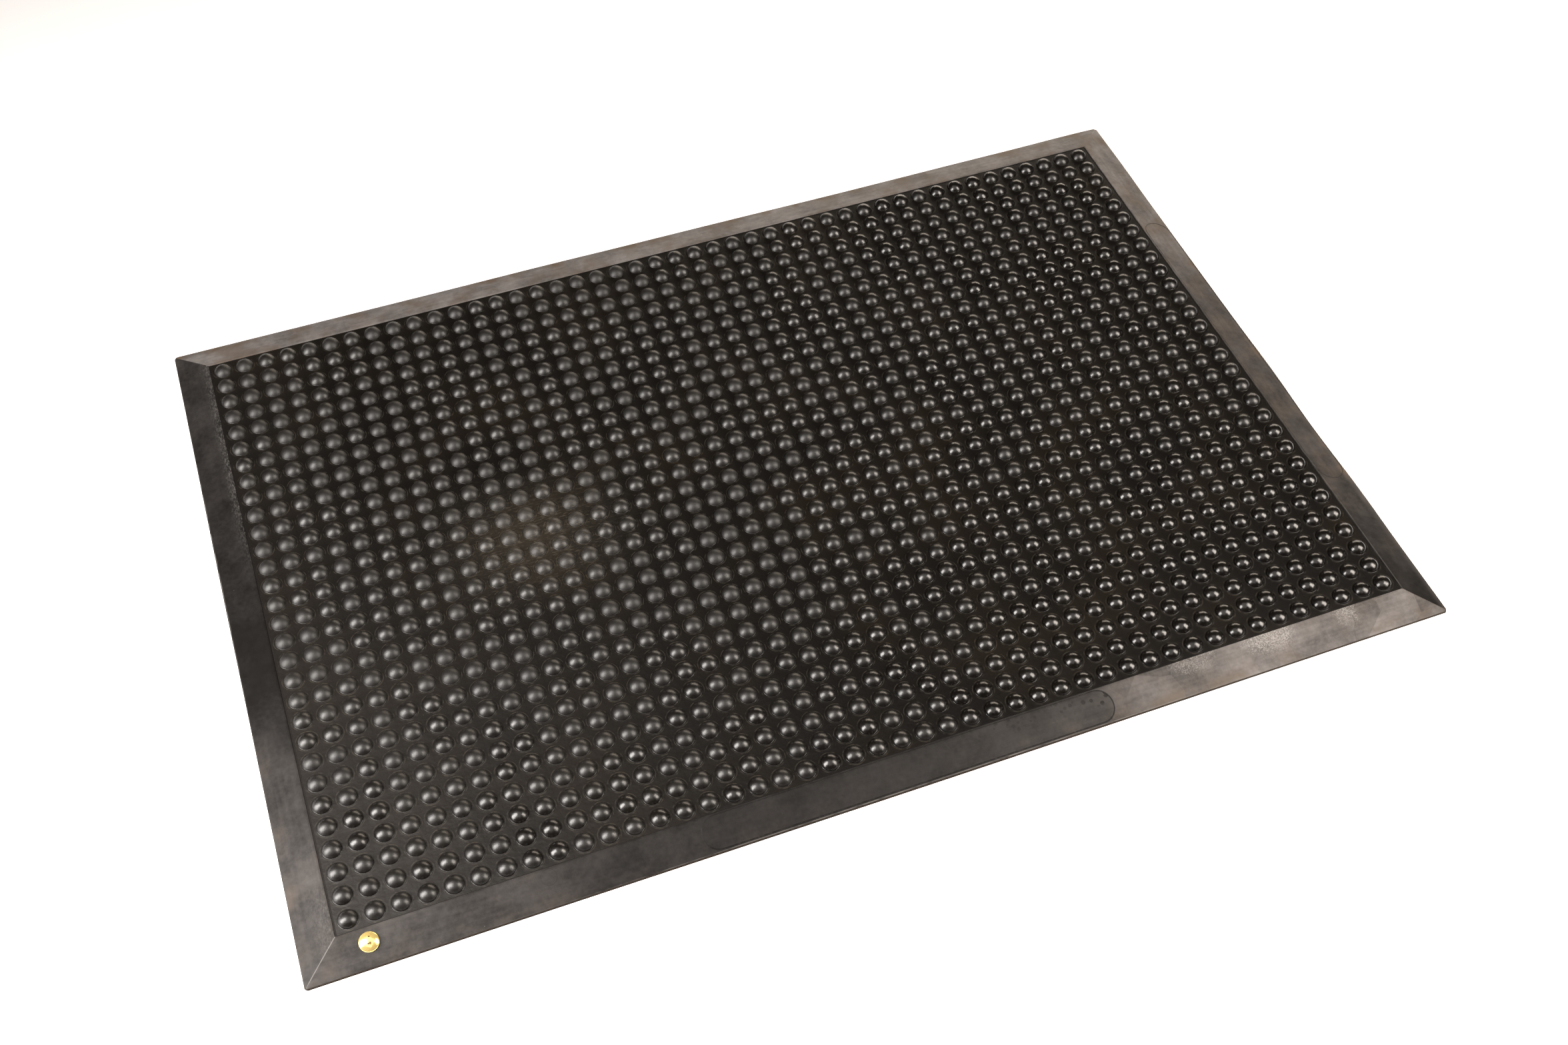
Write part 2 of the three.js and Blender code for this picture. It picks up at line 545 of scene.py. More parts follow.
@dataclass(frozen=True)
class BorderRubber:
    """Dull black rubber of the border: bloom mixed with painted sheen, chalk scuffs, the mould's joint lines,
    painted highlights along its edges and painted contact shade on its outer edge.
    """

    black: Colour = (0.0040, 0.0035, 0.0031)
    # bloom colour; along the back and right sides its share also paints sheen from the back lamps
    bloom_and_sheen: Colour = (0.158, 0.146, 0.141)
    brown: Colour = (0.066, 0.048, 0.034)
    # chalk for the scuffs and specks, also used for painted highlights along the edges
    chalk_and_highlight: Colour = (0.25, 0.24, 0.23)
    # dark brown of the edge's foot, also painted contact shade on the upright outer edge
    flash_and_contact_shade: Colour = (0.014, 0.008, 0.003)
    rough: float = 0.48
    shine: float = 0.12
    # share of bloom along each side; the high values on the back and on the far part of the right side are
    # partly painted sheen
    front: Curve = (
        (-475.0, 0.19), (-360.0, 0.145), (-230.0, 0.055), (20.0, 0.05), (110.0, 0.09),
        (160.0, 0.15), (200.0, 0.33), (300.0, 0.48), (475.0, 0.42),
    )
    left: Curve = ((-325.0, 0.14), (-250.0, 0.18), (-170.0, 0.11), (-60.0, 0.0), (120.0, 0.03), (325.0, 0.08))
    right: Curve = (
        (-325.0, 0.01), (-250.0, 0.05), (-190.0, 0.125), (-120.0, 0.16),
        (40.0, 0.18), (200.0, 0.52), (325.0, 0.56),
    )
    back: Curve = ((-475.0, 0.58), (0.0, 0.60), (475.0, 0.52))
    mould_mark: Tuple[float, float] = (-288.0, -302.0)
    mould_radius: float = 6.0

    def make(self) -> bpy.types.Material:
        """Builds the material.

        Returns:
            The material for the border, its edge and the margin of the panel.
        """
        sheet = FinishSheet("border_rubber")
        x, _, z = sheet.axes
        inset = self._insets(sheet)
        nearest = inset[Side.FRONT].low(inset[Side.BACK]).low(inset[Side.LEFT]).low(inset[Side.RIGHT])
        on = {side: (inset[side] - nearest).rise(0.5, 0.1) for side in Side}
        amount = self._bloom_and_sheen_amount(sheet, on, nearest)
        bevel = nearest.rise(30.4, 29.9)
        warm = on[Side.BACK] * 0.4 + on[Side.RIGHT] * 0.4 + 0.18
        rust = sheet.noise(26.0, 4.0).rise(0.42, 0.66) * (nearest.near(4.0, 9.0) * 0.45 + warm)
        lines, dark = self._insert_marks(sheet, on)
        scuff = self._scuffs(sheet, on, nearest)
        # painted highlight along the top corner of the outer edge
        arris_highlight = nearest.near(1.3, 0.7) * z.rise(1.9, 2.3) * sheet.noise(14.0, 3.0).rise(0.35, 0.6)
        # painted highlight along the rim's inner corner
        rim = nearest.near(28.9, 0.6) * sheet.noise(20.0, 3.0).rise(0.35, 0.6)
        # darker towards the floor: the dark line at the foot, partly painted contact shade
        fin_and_contact_shade = z.rise(0.75, 0.35) * nearest.rise(2.0, 1.0)
        colour = sheet.layers(
            self.black,
            # bloom, partly painted sheen, on the bevel
            (amount * bevel, self.bloom_and_sheen),
            # bloom with painted sheen of the left lamp on the margin near the left corner
            (near_left_haze_and_sheen(sheet) * (1 - bevel), DomedRubber.haze),
            (rust * bevel * amount.rise(0.0, 0.4), self.brown),
            # darker inside the front insert: its own tone and painted shade
            (dark, self.black),
            (lines * 0.9, self.black),
            (scuff, self.chalk_and_highlight),
            # painted highlights along the outer edge and the rim
            (arris_highlight * 0.4 + rim * x.rise(100.0, 250.0) * 0.12, self.chalk_and_highlight),
            # the upright outer edge darkened: painted contact shade, with the foot's own dark brown
            (z.rise(2.15, 1.85) * nearest.rise(2.2, 1.6) * 0.92, self.flash_and_contact_shade),
            (fin_and_contact_shade * 0.9, self.flash_and_contact_shade),
            (sheet.specks(11.0, 0.3, 0.3) * 0.5, self.chalk_and_highlight),
        )
        grain = sheet.relief(sheet.noise(0.8, 4.0), 0.03)
        broad = sheet.relief(sheet.noise(30.0, 3.0), 0.8, under=grain)
        normal = sheet.relief(1.0 - lines, 0.15, under=broad)
        rough = self.rough + (sheet.noise(7.0, 4.0) - 0.5) * 0.25 + scuff * 0.2
        return sheet.finish(
            Base_Color=colour, Roughness=rough, Normal=normal, Specular_IOR_Level=self.shine
        )

    @staticmethod
    def _insets(sheet: FinishSheet) -> Dict[Side, Value]:
        """Distance from each side's outer edge, in millimetres."""
        x, y, _ = sheet.axes
        half_x, half_y = SIZES.half
        return {
            Side.FRONT: y + half_y,
            Side.BACK: half_y - y,
            Side.LEFT: x + half_x,
            Side.RIGHT: half_x - x,
        }

    def _bloom_and_sheen_amount(self, sheet: FinishSheet, on: Dict[Side, Value], inset: Value) -> Value:
        """How much bloom and painted sheen the border carries, with its clouds, streaks and mottling.

        Args:
            sheet: the node sheet.
            on: the mask of each side.
            inset: the distance from the outer edge in millimetres.

        Returns:
            The share of bloom, with painted sheen in it.
        """
        x, y, _ = sheet.axes
        curves = (
            (Side.FRONT, x, self.front),
            (Side.BACK, x, self.back),
            (Side.LEFT, y, self.left),
            (Side.RIGHT, y, self.right),
        )
        total: Operand = 0.0
        for side, along, stops in curves:
            total = on[side] * sheet.profile(along, stops) + total
        long_side = on[Side.FRONT] + on[Side.BACK]
        lengthwise = sheet.noise(4.0, 4.0, point=sheet.point(scale=(0.07, 1.0, 1.0)))
        crosswise = sheet.noise(4.0, 4.0, point=sheet.point(scale=(1.0, 0.07, 1.0)))
        streaks = crosswise + (lengthwise - crosswise) * long_side
        cloud = sheet.noise(30.0, 4.0).rise(0.32, 0.68) - 0.5
        mottle = sheet.noise(4.5, 6.0, rough=0.7).rise(0.30, 0.70) - 0.5
        tiles = (sheet.patches(30.0) - 0.5) * on[Side.FRONT] * x.rise(120.0, 190.0)
        uneven = cloud * 0.50 + (streaks.rise(0.30, 0.70) - 0.5) * 0.28 + mottle * 0.30 + tiles * 0.4
        low_right = on[Side.RIGHT] * inset.rise(8.0, 2.0) * 0.10
        return (total * (1.0 + uneven) + mottle * 0.02 + cloud * 0.02 + low_right).high(0.0).low(1.0)

    def _insert_marks(self, sheet: FinishSheet, on: Dict[Side, Value]) -> Tuple[Value, Value]:
        """The long round-ended outlines that the mould's inserts leave on two sides.

        Args:
            sheet: the node sheet.
            on: the mask of each side.

        Returns:
            The mask of the lines, and how much darker the area inside the front one is: its own tone, with
            painted shade as in a recess towards its right end.
        """
        x, y, _ = sheet.axes
        pits = sheet.noise(1.1, 2.0).rise(0.35, 0.6)
        front, right = INSERTS
        distances = []
        for insert, along, across in ((front, x, y), (right, y, x)):
            end = (abs(along - insert.middle) - insert.straight).high(0.0)
            distances.append(end.reach(across - insert.line) - insert.radius)
        marks = [abs(d).rise(0.7, 0.2) * on[side] for d, side in zip(distances, (Side.FRONT, Side.RIGHT))]
        low_line = y.rise(-316.0, -321.0) * marks[0] * sheet.noise(3.0, 3.0).rise(0.4, 0.55)
        # darker inside the front insert: its own tone, plus painted recess shade strongest inside its right
        # end
        inside = distances[0].rise(0.2, -0.4) * on[Side.FRONT] * (1 + x.rise(130.0, 172.0) * 0.8)
        drops = sheet.specks(5.2, 2.4, 0.75) * y.rise(-311.0, -306.0) * x.rise(-20.0, 60.0)
        dark = inside * (0.22 + drops * 0.4)
        mark_x, mark_y = self.mould_mark
        mould = (x - mark_x).reach(y - mark_y).near(self.mould_radius, 0.5)
        end = x.rise(150.0, 160.0) * marks[0]
        lines = (marks[0] + marks[1]) * (0.35 + 0.4 * pits) + (low_line + end) * 0.5
        lines = lines + mould * 0.3 * on[Side.FRONT]
        return lines.low(1.0), dark

    @staticmethod
    def _scuffs(sheet: FinishSheet, on: Dict[Side, Value], inset: Value) -> Value:
        """Chalky scuffs that hang from the rim, and fainter smears near the left end.

        Args:
            sheet: the node sheet.
            on: the mask of each side.
            inset: the distance from the outer edge in millimetres.

        Returns:
            The mask of the scuffs.
        """
        x, y, _ = sheet.axes
        fine = sheet.noise(1.3, 6.0, rough=0.85)
        smear = sheet.noise(1.4, 5.0, point=sheet.point(scale=(1.0, 0.5, 1.0)), rough=0.75).rise(0.42, 0.72)
        wander = (sheet.noise(8.0, 4.0, rough=0.7) - 0.5) * 26.0
        total: Operand = 0.0
        for scuff in SCUFFS:
            depth = (SIZES.border / MM - inset) / scuff.hang
            patch = (abs(x - scuff.middle) / scuff.reach + depth * 0.45 + wander * 0.03).rise(1.25, 0.55)
            total = patch * depth.rise(1.1, 0.35) * scuff.strength + total
        salt = (fine + total * 0.10).rise(0.52, 0.64)
        high_left = on[Side.LEFT] * y.rise(20.0, 150.0) * inset.rise(20.0, 30.0) * 0.22
        corner = on[Side.LEFT] * y.rise(-215.0, -285.0) * inset.rise(10.0, 28.0) * 0.14
        half_x, half_y = SIZES.half
        joint = abs((x + half_x) - (y + half_y)).rise(0.9, 0.2)
        mitre = joint * inset.rise(2.0, 8.0) * x.rise(-440.0, -446.0)
        smears = (high_left + corner) * smear + mitre * 0.24
        return ((on[Side.FRONT] * total * salt) + smears).low(1.0) * inset.rise(30.3, 29.9)


@dataclass(frozen=True)
class UndersideRubber:
    """Plain moulded rubber of the hidden underside."""

    black: Colour = (0.018, 0.017, 0.016)
    grey: Colour = (0.045, 0.042, 0.038)

    def make(self) -> bpy.types.Material:
        """Builds the material.

        Returns:
            The material for the underside.
        """
        sheet = FinishSheet("underside_rubber")
        cloud = sheet.noise(60.0, 4.0)
        mottle = sheet.noise(3.0, 5.0)
        colour = sheet.blend(cloud.rise(0.35, 0.7) * 0.6 + mottle * 0.2, self.black, self.grey)
        normal = sheet.relief(sheet.noise(0.9, 4.0), 0.04)
        return sheet.finish(Base_Color=colour, Roughness=0.58 + (mottle - 0.5) * 0.2, Normal=normal)


@dataclass(frozen=True)
class StudBrass:
    """Polished or plain yellow brass."""

    name: str = "polished_brass"
    bright: Colour = (1.0, 0.75, 0.27)
    tarnish: Colour = (0.82, 0.52, 0.14)
    # colour of the painted dark reflections on the crown
    shadow: Colour = (0.10, 0.055, 0.02)
    rough: float = 0.14
    metal: float = 0.76
    # painted dark reflections on the crown: place across, place along and radius, in millimetres
    dark_reflections: Tuple[Tuple[float, float, float], ...] = ((0.7, -1.5, 1.25), (-0.6, -1.5, 0.8), (0.9, 3.4, 0.75))

    def make(self) -> bpy.types.Material:
        """Builds the material.

        Returns:
            The brass.
        """
        sheet = FinishSheet(self.name)
        cloud = sheet.noise(5.0, 4.0)
        fine = sheet.noise(0.5, 3.0)
        colour = sheet.blend(cloud.rise(0.45, 0.85) * 0.45, self.bright, self.tarnish)
        # painted dark reflections laid over the brass
        for across, along, radius in self.dark_reflections:
            colour = sheet.blend(self._dark_reflection(sheet, across, along, radius), colour, self.shadow)
        scratches = sheet.noise(0.6, 2.0, point=sheet.point(scale=(1.0, 9.0, 1.0)))
        normal = sheet.relief(scratches, 0.006)
        rough = self.rough + cloud.rise(0.4, 0.8) * 0.08 + (fine - 0.5) * 0.04
        return sheet.finish(Base_Color=colour, Metallic=self.metal, Roughness=rough, Normal=normal)

    @staticmethod
    def _dark_reflection(sheet: FinishSheet, across: float, along: float, radius: float) -> Value:
        """A small painted dark reflection on the crown of the cap.

        Args:
            sheet: the node sheet.
            across: its place along the stud's x axis in millimetres.
            along: its place along the stud's y axis in millimetres.
            radius: its mean radius in millimetres.

        Returns:
            The mask of the painted reflection.
        """
        x, y, z = sheet.axes
        wobble = (sheet.noise(0.9, 2.0) - 0.5) * 1.2
        away = (x - across).reach(y - along) + wobble
        return away.rise(radius, radius * 0.6) * z.rise(1.0, 1.5) * 0.9


@dataclass(frozen=True)
class PaleFloor:
    """Matt white floor of the studio."""

    white: Colour = (0.92, 0.93, 0.95)
    shade: Colour = (0.89, 0.90, 0.92)

    def make(self) -> bpy.types.Material:
        """Builds the material.

        Returns:
            The floor's material.
        """
        sheet = FinishSheet("pale_floor")
        colour = sheet.blend(sheet.noise(400.0, 2.0) * 0.3, self.white, self.shade)
        return sheet.finish(Base_Color=colour, Roughness=0.9)


# Meshes


def mesh_object(name: str, points: np.ndarray, faces: List[Sequence[int]]) -> bpy.types.Object:
    """Makes a smooth-shaded object from points and faces.

    Args:
        name: the object's name.
        points: one row of x, y and z for each point, in metres.
        faces: the points of each face, anticlockwise from outside.

    Returns:
        The object, linked to the scene.
    """
    mesh = bpy.data.meshes.new(name)
    mesh.from_pydata(points.tolist(), [], faces)
    mesh.validate()
    mesh.polygons.foreach_set("use_smooth", [True] * len(mesh.polygons))
    mesh.update()
    made = bpy.data.objects.new(name, mesh)
    bpy.context.scene.collection.objects.link(made)
    return made


def ring_faces(count: int, rings: int) -> List[Sequence[int]]:
    """Four-sided faces that join closed rings of points, each ring stored after the one before.

    Args:
        count: the number of points in each ring.
        rings: the number of rings.

    Returns:
        The faces.
    """
    faces: List[Sequence[int]] = []
    for start in range(0, (rings - 1) * count, count):
        for k in range(count):
            n = (k + 1) % count
            faces.append([start + k, start + n, start + count + n, start + count + k])
    return faces


def lathe(name: str, profile: Sequence[Tuple[float, float]], segments: int) -> bpy.types.Object:
    """Turns a profile round the z axis.

    Args:
        name: the object's name.
        profile: radius and height of each point in millimetres, going up the outside; it starts
            and ends on the axis, or closes on itself.
        segments: the number of sides.

    Returns:
        The turned object.
    """
    closed = profile[0] == profile[-1]
    rings: List[List[int]] = []
    points: List[Point] = []
    for radius, height in profile[:-1] if closed else profile:
        count = 1 if radius == 0 else segments
        start = len(points)
        for k in range(count):
            angle = 2 * math.pi * k / segments
            points.append((radius * MM * math.cos(angle), radius * MM * math.sin(angle), height * MM))
        rings.append([start + k % count for k in range(segments)])
    if closed:
        rings.append(rings[0])
    faces = []
    for lower, upper in zip(rings, rings[1:]):
        for k in range(segments):
            n = (k + 1) % segments
            face = [lower[k], lower[n], upper[n], upper[k]]
            faces.append([v for i, v in enumerate(face) if v not in face[:i]])
    return mesh_object(name, np.array(points), faces)


def dress(piece: bpy.types.Object, finish: bpy.types.Material, node: str) -> None:
    """Gives a piece its finish and its place in the frame.

    Args:
        piece: the object.
        finish: its material.
        node: the CAD node that the piece stands for.
    """
    piece.data.materials.append(finish)
    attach(piece, "root")
    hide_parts(node)
    LOG.info("%s: %d faces", piece.name, len(piece.data.polygons))


# Sub-assemblies


@dataclass(frozen=True)
class Insert:
    """Outline of a mould insert on the border, in millimetres: a slot shape with round ends."""

    side: Side
    middle: float
    straight: float
    line: float
    radius: float


INSERTS = (
    Insert(Side.FRONT, middle=0.0, straight=158.5, line=-309.2, radius=13.0),
    Insert(Side.RIGHT, middle=0.0, straight=158.5, line=459.2, radius=13.0),
)


@dataclass
class DomedPanel:
    """The panel inside the rim: a square grid of round domes, built in bands of rows."""

    sizes: MatSizes = SIZES
    rows_per_band: int = 6
    segments: int = 24
    cap_radius: float = 7.55
    cap_foot: float = 0.70
    foot_rings: Curve = ((7.68, 0.16), (7.78, 0.01), (7.88, 0.0), (9.0, 0.014), (9.4, 0.0))
    foot_reach: float = 9.45
    cap_rings: Tuple[float, ...] = (2.0, 3.9, 5.5, 6.7, 7.35, 7.55)
    height_spread: float = 0.03
    place_spread: float = 0.10
    weld_steps: int = 1000

    def _tile(self) -> Tuple[np.ndarray, List[List[int]], np.ndarray]:
        """One dome on its square.

        Returns:
            Its points in millimetres, its faces, and how far each point follows the dome, 0 to 1.
        """
        rise = self.sizes.dome_height / MM - self.cap_foot
        ball = (self.cap_radius**2 + rise**2) / (2 * rise)
        top = self.sizes.dome_height / MM
        rings = [(r, top - ball + math.sqrt(ball**2 - r**2)) for r in self.cap_rings]
        rings += list(self.foot_rings)
        points = [(0.0, 0.0, top)]
        follow = [1.0]
        angles = [2 * math.pi * k / self.segments for k in range(self.segments)]
        for radius, height in rings:
            points += [(radius * math.cos(a), radius * math.sin(a), height) for a in angles]
            follow += [min(1.0, max(0.0, self.foot_reach - radius))] * self.segments
        half_x, half_y = (pitch / 2 for pitch in self.sizes.pitch)
        for a in angles:
            reach = min(half_x / max(abs(math.cos(a)), TINY), half_y / max(abs(math.sin(a)), TINY))
            points.append((reach * math.cos(a), reach * math.sin(a), 0.0))
        follow += [0.0] * self.segments
        n = self.segments
        faces = [[0, 1 + k, 1 + (k + 1) % n] for k in range(n)]
        for a, b, c, d in ring_faces(n, len(rings) + 1):
            faces.append([1 + a, 1 + d, 1 + c, 1 + b])
        return np.array(points), faces, np.array(follow)

    def build(self) -> None:
        """Builds and dresses every band of the panel."""
        rng = np.random.default_rng(SEED)
        points, faces, follow = self._tile()
        finish = DomedRubber().make()
        pitch_x, pitch_y = self.sizes.pitch
        for first in range(0, self.sizes.rows, self.rows_per_band):
            rows = range(first, min(first + self.rows_per_band, self.sizes.rows))
            cells = []
            for row in rows:
                for column in range(self.sizes.columns):
                    cell = points.copy()
                    cell[:, 2] *= 1 - self.height_spread * rng.random() * follow
                    nudge = (rng.random(2) - 0.5) * 2 * self.place_spread
                    cell[:, :2] += nudge * follow[:, None]
                    cell[:, 0] += (column - (self.sizes.columns - 1) / 2) * pitch_x
                    cell[:, 1] += (row - (self.sizes.rows - 1) / 2) * pitch_y
                    cells.append(cell)
            name = f"domed_panel_{first // self.rows_per_band + 1}"
            band = self._join(name, cells, faces)
            dress(band, finish, "mat")

    def _join(self, name: str, cells: List[np.ndarray], faces: List[List[int]]) -> bpy.types.Object:
        """Joins a band's tiles, welding the points that neighbours share.

        Args:
            name: the band's name.
            cells: each tile's points in millimetres.
            faces: one tile's faces.

        Returns:
            The band.
        """
        points, size = np.concatenate(cells), len(cells[0])
        keys = np.round(points * self.weld_steps).astype(np.int64)
        _, kept, target = np.unique(keys, axis=0, return_index=True, return_inverse=True)
        target = target.reshape(-1)
        starts = range(0, len(points), size)
        joined = [target[np.array(face) + start].tolist() for start in starts for face in faces]
        placed = points[kept] * MM
        placed[:, 2] += self.sizes.panel_z
        return mesh_object(name, placed, joined)


@dataclass(frozen=True)
class Wave:
    """One place where the mat's outer edge stands out or in, in millimetres."""

    side: Side
    place: float
    out: float
    reach: float


@dataclass
class BevelledBody:
    """The body of the mat: bevelled border, rim, panel margin, edge with its flash, and underside."""

    sizes: MatSizes = SIZES
    corner_radius: float = 3.0
    sharp_radius: float = 0.35
    corner_steps: int = 4
    long_steps: int = 190
    short_steps: int = 130
    bevel_steps: int = 10
    pocket: float = 1.5
    bevel_start: float = 1.3
    edge_foot: Curve = ((1.2, 0.0), (0.15, 0.0), (0.0, 0.12), (0.0, 0.3), (0.3, 0.42), (0.38, 0.6))
    edge_lip: Curve = ((0.42, -0.45), (0.55, -0.12), (0.85, 0.12))
    bevel_stop: float = 0.4
    rim_start: Tuple[float, float] = (0.2, -0.02)
    rim_end: Curve = ((-0.35, 0.0), (-0.1, -0.06), (0.0, -0.2))
    margin_start: Curve = ((0.12, -0.04), (0.5, 0.0))
    sharp_angle: float = 24.0
    underside_normal: float = -0.9
    cut_below: float = 5.0
    cut_above: float = 1.0
    cut_segments: int = 48
    nominal_inset: float = 0.9
    waves: Tuple[Wave, ...] = (
        Wave(Side.RIGHT, -190.0, 0.8, 42.0),
        Wave(Side.RIGHT, -35.0, 0.8, 42.0),
        Wave(Side.RIGHT, 265.0, 0.5, 40.0),
        Wave(Side.RIGHT, -110.0, -0.6, 40.0),
        Wave(Side.BACK, -127.0, 0.5, 60.0),
        Wave(Side.BACK, 186.0, -0.7, 90.0),
        Wave(Side.BACK, 441.0, 0.8, 40.0),
        Wave(Side.FRONT, 20.0, 0.6, 260.0),
        Wave(Side.LEFT, 60.0, 0.4, 120.0),
    )
    piece: Optional[bpy.types.Object] = None

    def _profile(self) -> List[Tuple[float, float, float, float]]:
        """Section of the border from the underside to the panel.

        Returns:
            Inset along x, inset along y, height and corner radius of each loop, in millimetres.
        """
        edge = self.sizes.edge_height / MM
        slope = self.sizes.slope
        rim_at = (self.sizes.border - self.sizes.rim_width) / MM
        border = self.sizes.border / MM
        rim = self.sizes.rim_z / MM
        panel = self.sizes.panel_z / MM
        low = [*self.edge_foot, *((inset, edge + up) for inset, up in self.edge_lip)]
        low.append((self.bevel_start, edge + self.bevel_start * slope))
        loops = [(i, i, z, self.corner_radius) for i, z in low]
        for step in range(1, self.bevel_steps + 1):
            part = step / self.bevel_steps
            inset = self.bevel_start + (rim_at - self.bevel_stop - self.bevel_start) * part
            radius = self.corner_radius + (self.sharp_radius - self.corner_radius) * min(1.0, part * 3)
            loops.append((inset, inset, edge + inset * slope, radius))
        small = self.sharp_radius
        top = [(rim_at + self.rim_start[0], rim + self.rim_start[1])]
        top += [(border + inset, rim + up) for inset, up in self.rim_end]
        top += [(border + inset, panel + up) for inset, up in self.margin_start]
        loops += [(i, i, z, small) for i, z in top]
        last = tuple(half - field / MM for half, field in zip(self.sizes.half, self.sizes.field_half))
        loops.append((*last, panel, small / 4))
        loops.append((*last, panel - self.pocket, small / 4))
        return loops

    def _outward(self, side: Side, places: np.ndarray) -> np.ndarray:
        """How far the outer edge stands out at places along a side, in millimetres."""
        total = np.full(places.shape, -self.nominal_inset)
        for wave in self.waves:
            if wave.side is side:
                total += wave.out * np.exp(-(((places - wave.place) / wave.reach) ** 2))
        return np.minimum(total, 0.0)

    def _loop(self, inset_x: float, inset_y: float, height: float, radius: float) -> np.ndarray:
        """One loop of points round the mat.

        Args:
            inset_x: inset from the ends of the mat.
            inset_y: inset from its front and back.
            height: height of the loop.
            radius: radius of its corners.

        Returns:
            The loop's points in millimetres, anticlockwise from the front left corner.
        """
        half_x, half_y = self.sizes.half[0] - inset_x, self.sizes.half[1] - inset_y
        fade = max(0.0, 1 - max(inset_x, inset_y) / (self.sizes.border / MM))
        x, y = half_x - radius, half_y - radius
        rows: List[np.ndarray] = []
        runs = (
            (Side.FRONT, (-x, -half_y), (x, -half_y), (0, -1), self.long_steps, (x, -y)),
            (Side.RIGHT, (half_x, -y), (half_x, y), (1, 0), self.short_steps, (x, y)),
            (Side.BACK, (x, half_y), (-x, half_y), (0, 1), self.long_steps, (-x, y)),
            (Side.LEFT, (-half_x, y), (-half_x, -y), (-1, 0), self.short_steps, (-x, -y)),
        )
        for turn, (side, start, end, normal, steps, corner) in enumerate(runs):
            part = np.linspace(0, 1, steps + 1)[:, None]
            line = np.array(start) * (1 - part) + np.array(end) * part
            places = line[:, 0] if normal[0] == 0 else line[:, 1]
            line = line + self._outward(side, places)[:, None] * fade * np.array(normal)
            rows.append(line)
            swing = np.arange(1, self.corner_steps) * (math.pi / 2 / self.corner_steps)
            angles = -math.pi / 2 + turn * math.pi / 2 + swing
            arc = np.stack([np.cos(angles), np.sin(angles)], axis=1)
            centre = np.array(corner) - self.nominal_inset * fade * np.sign(corner)
            rows.append(centre + arc * radius)
        flat = np.concatenate(rows)
        return np.column_stack([flat, np.full(len(flat), height)])

    def build(self) -> None:
        """Builds the body, cuts the stud's hole and dresses it."""
        loops = [self._loop(*section) for section in self._profile()]
        count = len(loops[0])
        faces = [list(range(count - 1, -1, -1)), *ring_faces(count, len(loops))]
        last = (len(loops) - 1) * count
        faces.append([last + k for k in range(count)])
        body = mesh_object("mat_body", np.concatenate(loops) * MM, faces)
        self._cut_stud_hole(body)
        body.data.set_sharp_from_angle(angle=math.radians(self.sharp_angle))
        dress(body, BorderRubber().make(), "mat")
        body.data.materials.append(UndersideRubber().make())
        for face in body.data.polygons:
            face.material_index = int(face.normal.z < self.underside_normal)
        self.piece = body

    def _cut_stud_hole(self, body: bpy.types.Object) -> None:
        """Cuts the stud's hole and the recess for its socket.

        Args:
            body: the uncut body.
        """
        stud = STUD
        hole, recess = stud.shank + stud.clearance, stud.socket_radius + stud.clearance
        deep = stud.axis_to_floor + self.cut_below
        profile = [(0, -deep), (recess, -deep), (recess, -stud.recess_top), (hole, -stud.recess_top)]
        profile += [(hole, self.cut_above), (0, self.cut_above)]
        cutter = lathe("stud_cutter", profile, self.cut_segments)
        cutter.matrix_world = self.sizes.stud_turn
        bpy.context.view_layer.update()
        cut = body.modifiers.new("stud_hole", "BOOLEAN")
        cut.operation = "DIFFERENCE"
        cut.solver = "EXACT"
        cut.object = cutter
        shaped = body.evaluated_get(bpy.context.evaluated_depsgraph_get())
        mesh = bpy.data.meshes.new_from_object(shaped)
        body.modifiers.clear()
        body.data = mesh
        bpy.data.objects.remove(cutter)


@dataclass(frozen=True)
class StudSizes:
    """Sizes of the stud in millimetres, measured along its own axis from the bevel."""

    cap_radius: float = 7.5
    cap_brim: float = 0.5
    cap_crown: float = 2.4
    shank: float = 2.0
    socket_radius: float = 5.5
    socket_thickness: float = 1.6
    clearance: float = 0.3

    @property
    def axis_to_floor(self) -> float:
        """Distance from the bevel to the floor along the axis."""
        return SIZES.stud_point.z / MM / math.cos(math.atan(SIZES.slope))

    @property
    def socket_bottom(self) -> float:
        """Depth of the socket's lower face."""
        return self.axis_to_floor - self.socket_radius * SIZES.slope - self.clearance

    @property
    def recess_top(self) -> float:
        """Depth of the recess's roof."""
        return self.socket_bottom - self.socket_thickness - self.clearance


STUD = StudSizes()


